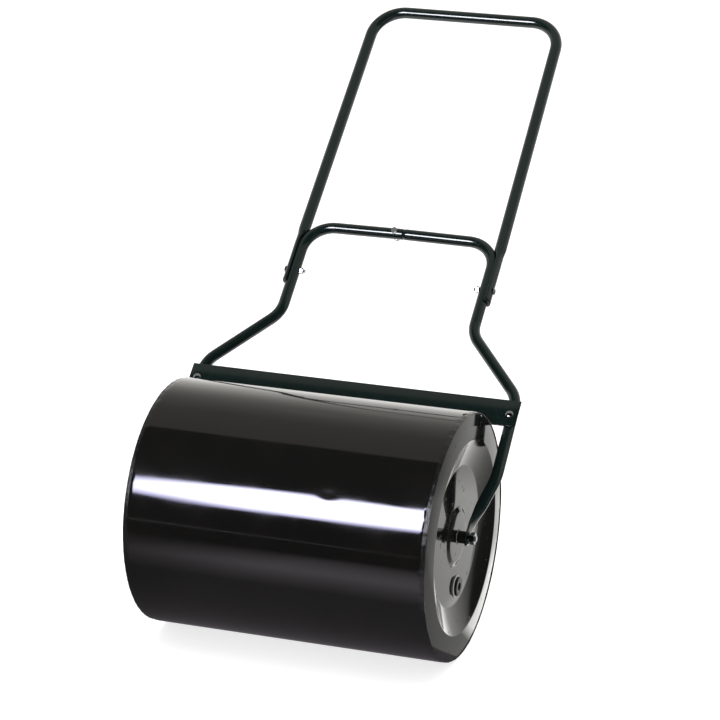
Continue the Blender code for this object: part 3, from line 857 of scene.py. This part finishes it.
# a circle carried along the bent line, flattening into a strip towards the foot; the right tube ends in
# a narrower neck, and the left one in a socket for it
def buildLowerTube(side, word):
    t = lowerTube
    path = evenly(roundOff(t["corners"], t["bends"], 3), t["spacing"])
    flatness = 1 - rise(path[:, 1], t["flatBelow"], t["roundAbove"])
    flatness[path[:, 0] < 0.2] = 0
    across = t["radius"] * (1 - flatness) + t["flatHalf"] * flatness
    up = t["radius"] * (1 - flatness) + t["flatWide"] * flatness
    squareness = 2 + 0.3 * flatness
    along = distances(path)
    foot = np.clip((t["flatWide"] - along) / t["flatWide"], 0, 1)
    up = up * np.sqrt(np.clip(1 - foot**2, 0.02, 1))
    if side > 0:
        reach = along[-1] - along
        neck = 1 - rise(reach, 0.001, 0.004)
        radius = t["radius"] - (t["radius"] - t["swage"]) * neck
        across = np.where(reach < 0.02, radius, across)
        up = np.where(reach < 0.02, radius, up)
        more = np.linspace(0, -t["swageLength"], 8)[1:]
        path = np.concatenate([path, np.column_stack([more, np.full(7, path[-1, 1])])])
        across = np.concatenate([across, np.full(7, t["swage"])])
        up = np.concatenate([up, np.full(7, t["swage"])])
        squareness = np.concatenate([squareness, np.full(7, 2.0)])
        sections = ovals(across, up, squareness, t["sides"])
        rings = alongPath(path, sections)
    else:
        sections = ovals(across, up, squareness, t["sides"])
        rings = alongPath(path * np.array([-1, 1]), sections * np.array([-1, 1]))
        inside = np.array([[0.0, path[-1, 1]], [-t["socket"], path[-1, 1]]])
        middle = onHandle(np.column_stack([inside, np.zeros(2)]))
        ring = rings[-1] - rings[-1].mean(0)
        ring = ring / t["radius"] * (t["swage"] + 0.0003)
        rings = np.concatenate([rings, middle[:, None] + ring[None]])
    skin, node = overRings(rings), "lower_tube_" + word.lower()
    addPiece("lowerTube" + word, [skin], frameEnamel, "frame", [node], sharp=45)


upperHandle = {
    "radius": 0.0100,
    "corners": [
        (-0.1690, 0.440),
        (-0.1690, 0.516),
        (-0.1755, 0.541),
        (-0.1695, 1.020),
        (0.1695, 1.020),
        (0.1755, 0.541),
        (0.1690, 0.516),
        (0.1690, 0.440),
    ],
    "bends": [0, 0.030, 0.030, 0.055, 0.055, 0.030, 0.030, 0],
    "saddleTo": 0.513,
    "roundFrom": 0.541,
    "saddleMiddle": 0.01275,
    "saddleHalf": 0.00225,
    "saddleSpan": math.radians(62),
    "sides": 64,
    "spacing": 0.003,
}


# the section of a tube crushed round its neighbour: a strip with round edges, followed round its outline
# at an even pace and bent about the neighbour's axis
def saddleSection(sides, inset=0.0):
    h = upperHandle
    half = h["saddleHalf"] - inset
    straight = h["saddleMiddle"] * h["saddleSpan"] - half - inset
    outline = 4 * straight + 2 * math.pi * half
    pace = (np.arange(sides) / sides * outline + straight) % outline
    thick = np.empty(sides)
    length = np.empty(sides)
    first = pace < 2 * straight
    bend = math.pi * half
    second = ~first & (pace < 2 * straight + bend)
    third = ~first & ~second & (pace < 4 * straight + bend)
    fourth = ~first & ~second & ~third
    thick[first] = half
    length[first] = pace[first] - straight
    turn = (pace[second] - 2 * straight) / half
    thick[second] = half * np.cos(turn)
    length[second] = straight + half * np.sin(turn)
    thick[third] = -half
    length[third] = straight - (pace[third] - 2 * straight - bend)
    turn = (pace[fourth] - 4 * straight - bend) / half
    thick[fourth] = -half * np.cos(turn)
    length[fourth] = -straight - half * np.sin(turn)
    angle = length / h["saddleMiddle"]
    reach = h["saddleMiddle"] + thick
    return np.column_stack([reach * np.cos(angle), reach * np.sin(angle)])


handleCap = {
    "at": 0.4400,
    "levels": [-0.0043, -0.0041, -0.0033, -0.0003, -0.0003, 0.0070],
    "insets": [0.0012, 0.0005, 0.0, 0.0, 0.0015, 0.0015],
}


# the crushed section at both ends turning into a circle above them, carried along the bent line; a
# cap is the crushed section, drawn in at its ends
def buildUpperHandle():
    h = upperHandle
    path = evenly(roundOff(h["corners"], h["bends"], 3), h["spacing"])
    angle = np.arange(h["sides"]) * 2 * math.pi / h["sides"]
    circle = h["radius"] * np.column_stack([np.cos(angle), np.sin(angle)])
    share = rise(path[:, 1], h["saddleTo"], h["roundFrom"])[:, None, None]
    sections = saddleSection(h["sides"])[None] * (1 - share) + circle[None] * share
    rings = alongPath(path, sections)
    skin = overRings(rings)
    addPiece("upperHandle", [skin], frameEnamel, "frame", ["upper_handle"], sharp=45)
    for side, word in ((-1, "Left"), (1, "Right")):
        rows = []
        for level, inset in zip(handleCap["levels"], handleCap["insets"]):
            section = saddleSection(h["sides"], inset)
            across = side * (h["corners"][-1][0] + section[:, 0])
            height = np.full(h["sides"], handleCap["at"] + level)
            rows.append(np.column_stack([across, height, section[:, 1]]))
        rings = onHandle(np.stack(rows))
        skin, node = overRings(rings), "handle_cap_" + word.lower()
        addPiece("handleCap" + word, [skin], blackPlastic, "frame", [node], sharp=45)


scraper = {
    "half": 0.2860,
    "low": 0.2025,
    "high": 0.2505,
    "under": 0.0098,
    "thick": 0.0030,
    "edge": 0.0007,
    "sag": 0.0006,
}


# a flat bar: a rectangle with small round edges carried across, sagging a little in the middle as the
# square of the way along, and drawn in at both ends by a quarter circle
def buildScraper():
    s = scraper
    low, high, under, over = s["low"], s["high"], s["under"], s["under"] + s["thick"]
    profile = roundOff([(low, under), (high, under), (high, over), (low, over)], [s["edge"]] * 4, 22)
    ends = np.array([s["half"], s["half"] - 0.0003])
    x = np.linspace(-s["half"] + s["edge"], s["half"] - s["edge"], 60)
    x = np.concatenate([-ends, x, ends[::-1]])
    middle = profile.mean(0)
    fromEnd = np.clip((s["half"] - np.abs(x)) / s["edge"], 0, 1)
    size = np.array([[0.5 * (high - low), 0.5 * s["thick"]]])
    drawn = s["edge"] * (1 - np.sqrt(np.clip(1 - (1 - fromEnd) ** 2, 0, 1)))
    shrink = 1 - drawn[:, None] / size
    section = middle + (profile[None] - middle) * shrink[:, None, :]
    sag = s["sag"] * (1 - (x / s["half"]) ** 2)
    across = np.repeat(x[:, None], len(profile), 1)
    rings = onHandle(np.stack([across, section[..., 0], section[..., 1] - sag[:, None]], -1))
    addPiece("scraperBar", [overRings(rings)], frameEnamel, "frame", ["scraper_bar"])


buildLowerTube(-1, "Left")
buildLowerTube(1, "Right")
buildUpperHandle()
buildScraper()
print("frame made")


# a flat sheet that isn't part of the object; a card is seen only in reflections
def stageSheet(name, corners, material, isCard):
    mesh = bpy.data.meshes.new(name)
    mesh.from_pydata(corners, [], [tuple(range(len(corners)))])
    mesh.materials.append(material)
    sheet = bpy.data.objects.new(name, mesh)
    scene.collection.objects.link(sheet)
    if isCard:
        sheet.visible_camera = False
        sheet.visible_diffuse = False
        sheet.visible_shadow = False
        sheet.visible_transmission = False


# a surface that only glows; its nodes are made row by row, each a name, a kind, an operation and the
# inputs in order, where a word is an earlier row's name; rows named colour and strength set the glow
def makeGlow(name, colour, strength, rows=()):
    material = bpy.data.materials.new(name)
    material.use_nodes = True
    tree = material.node_tree
    tree.nodes.remove(tree.nodes["Principled BSDF"])
    place = addNode(tree, "TexCoord", {}, {}).outputs["Object"]
    parted = addNode(tree, "SeparateXYZ", {}, {"Vector": place}).outputs
    made = {"place": place, "x": parted["X"], "y": parted["Y"], "z": parted["Z"]}
    made["colour"] = linear(colour)
    made["strength"] = strength
    for key, kind, operation, inputs in rows:
        settings = {"operation": operation} if operation else {}
        inputs = {i: made[value] if isinstance(value, str) else value for i, value in enumerate(inputs)}
        node = addNode(tree, kind, settings, inputs)
        made[key] = [output for output in node.outputs if output.enabled][0]
    glow = addNode(tree, "Emission", {}, {"Color": made["colour"], "Strength": made["strength"]})
    tree.links.new(glow.outputs["Emission"], tree.nodes["Material Output"].inputs["Surface"])
    return material


softbox = {"centre": (-1.0, -3.0, 2.19), "reach": 0.84, "strength": 36.0, "edge": 3.6}


# an eight-sided softbox in front, brightest in its middle and turning violet-blue at its edge
def buildSoftbox():
    b = softbox
    corner = b["reach"] / math.cos(math.pi / 8)
    rows = [
        ("away", "VectorMath", "DISTANCE", ("place", b["centre"])),
        ("strength", "MapRange", "", ("away", 0.70 * corner, corner, b["strength"], b["edge"])),
        ("blueness", "MapRange", "", ("away", 0.55 * corner, 0.92 * corner, 0.0, 1.0)),
        ("colour", "MixRGB", "", ("blueness", linear("ffffff"), linear("c9c8f4"))),
    ]
    turn = (np.arange(8) + 0.5) * math.pi / 4
    across, up = b["centre"][0] + corner * np.cos(turn), b["centre"][2] + corner * np.sin(turn)
    corners = np.column_stack([across, np.full(8, b["centre"][1]), up]).tolist()
    stageSheet("softbox", corners, makeGlow("softboxCloth", "ffffff", b["strength"], rows), True)


# each card's material with its colour, strength and nodes, and its corners
cards = {
    # the ceiling and the back wall meet in one soft fall of light
    "ceilingCard": {
        "glow": ("ceilingBounce", "fffaf2", 0.55, [
            ("strength", "MapRange", "", ("y", 1.2, 6.0, 0.42, 1.30)),
        ]),
        "corners": [(-6, -0.11, 3), (6, -0.11, 3), (6, 6, 3), (-6, 6, 3)],
    },
    "backCard": {
        "glow": ("backWall", "fffdf8", 1.5, [
            ("strength", "MapRange", "", ("z", 0.8, 3.0, 1.6, 1.30)),
        ]),
        "corners": [(-6, 6, 0), (6, 6, 0), (6, 6, 3), (-6, 6, 3)],
    },
    "leftCard": {
        "glow": ("leftWall", "ffffff", 0.9),
        "corners": [(-3.4, -0.5, 0), (-3.4, 5, 0), (-3.4, 5, 2.6), (-3.4, -0.5, 2.6)],
    },
    "rightCard": {
        "glow": ("rightWall", "ffffff", 0.7),
        "corners": [(3.6, 0.2, 0.7), (3.6, 5, 0.7), (3.6, 5, 2.6), (3.6, 0.2, 2.6)],
    },
    # painted shade in front, seen only in reflections: a dark card standing for the shaded floor before and
    # under the drum,
    #     # with one painted strip of reflected light across it, which fades to the left
    "frontCard": {
        "glow": ("blackVelvet", "fff6ff", 0.0, [
            ("near", "MapRange", "", ("y", -1.15, -0.60, 0.0, 1.0)),
            ("far", "MapRange", "", ("y", -0.34, -0.54, 0.15, 1.0)),
            ("side", "MapRange", "", ("x", -0.46, -0.16, 0.25, 1.0)),
            ("strip", "Math", "MULTIPLY", ("near", "far")),
            ("strength", "Math", "MULTIPLY", ("strip", "side")),
        ]),
        "corners": [(-6, -30, 0.002), (6, -30, 0.002), (6, -0.02, 0.002), (-6, -0.02, 0.002)],
    },
    # painted light and shade of the paper to the right, seen only in reflections: painted shade darkens it
    # away from the drum
    #     # in three steps and dims it far behind, a painted highlight gives it a bright edge next to the
    #     drum, and past a slanting
    #     # line in front a painted shadow of the drum makes it darker still
    "sideCard": {
        "glow": ("sidePaper", "fffefb", 1.0, [
            ("slant", "Math", "MULTIPLY_ADD", ("y", -0.5, 0.2)),
            ("across", "Math", "ADD", ("x", "slant")),
            ("firstStep", "MapRange", "", ("across", 0.30, 0.60, 1.25, 0.48)),
            ("secondStep", "MapRange", "", ("across", 0.12, 0.30, 0.45, 0.0)),
            ("thirdStep", "MapRange", "", ("across", 0.61, 0.70, 0.0, 0.43)),
            ("twoSteps", "Math", "ADD", ("firstStep", "secondStep")),
            ("steps", "Math", "SUBTRACT", ("twoSteps", "thirdStep")),
            ("farther", "MapRange", "", ("y", 0.66, 0.80, 1.0, 0.62)),
            ("paper", "Math", "MULTIPLY", ("steps", "farther")),
            ("edgeWidth", "MapRange", "", ("x", 0.27, 0.315, 1.3, 0.0)),
            ("edgeLength", "MapRange", "", ("y", 0.35, 0.50, 1.0, 0.0)),
            ("edge", "Math", "MULTIPLY", ("edgeWidth", "edgeLength")),
            ("lit", "Math", "ADD", ("paper", "edge")),
            ("lean", "Math", "MULTIPLY_ADD", ("x", -0.85, 0.12)),
            ("past", "Math", "ADD", ("y", "lean")),
            ("behind", "MapRange", "", ("past", -0.05, -0.005, 0.0, 1.0)),
            ("before", "MapRange", "", ("past", -0.05, -0.005, 0.40, 0.0)),
            ("narrow", "MapRange", "", ("x", 0.50, 0.62, 1.0, 0.1)),
            ("litBehind", "Math", "MULTIPLY", ("lit", "behind")),
            ("litBefore", "Math", "MULTIPLY", ("before", "narrow")),
            ("strength", "Math", "ADD", ("litBehind", "litBefore")),
        ]),
        "corners": [(0.21, -0.02, 0.002), (6, -0.02, 0.002), (6, 6, 0.002), (0.21, 6, 0.002)],
    },
}

floorPaper = {"size": 30.0}


def buildFloorAndCards():
    size = floorPaper["size"]
    corners = [(-size, -size, 0), (size, -size, 0), (size, size, 0), (-size, size, 0)]
    stageSheet("floor", corners, studioPaper, False)
    for name, card in cards.items():
        stageSheet(name, card["corners"], makeGlow(*card["glow"]), True)


overheadBank = {"watts": 90, "size": 3.0, "place": (-0.5, -0.8, 3.4), "tilt": (-14, -8, 0)}


# an even white room that reflections don't see, and one wide lamp overhead
def buildLight():
    world = bpy.data.worlds.new("roomLight")
    world.use_nodes = True
    world.node_tree.nodes["Background"].inputs["Color"].default_value = (1, 1, 1, 1)
    world.node_tree.nodes["Background"].inputs["Strength"].default_value = 1.0
    scene.world = world
    world.cycles_visibility.glossy = False
    lamp = bpy.data.lights.new("overheadBank", "AREA")
    lamp.shape = "RECTANGLE"
    lamp.size = lamp.size_y = overheadBank["size"]
    lamp.energy = overheadBank["watts"]
    lampObject = bpy.data.objects.new("overheadBank", lamp)
    lampObject.location = overheadBank["place"]
    lampObject.rotation_euler = [math.radians(degrees) for degrees in overheadBank["tilt"]]
    lampObject.visible_camera = False
    lampObject.visible_glossy = False
    scene.collection.objects.link(lampObject)


view = {
    "from": (1.5944, -4.2169, 1.9990),
    "towards": (-0.32088, 0.89079, -0.32177),
    "lens": 150.96,
}


def buildCamera():
    data = bpy.data.cameras.new("camera")
    data.lens = view["lens"]
    data.sensor_width = 36
    data.clip_start, data.clip_end = 0.1, 100
    camera = bpy.data.objects.new("camera", data)
    camera.location = view["from"]
    camera.rotation_euler = Vector(view["towards"]).to_track_quat("-Z", "Y").to_euler()
    scene.collection.objects.link(camera)
    scene.camera = camera


buildFloorAndCards()
buildSoftbox()
buildLight()
buildCamera()
print("studio made")
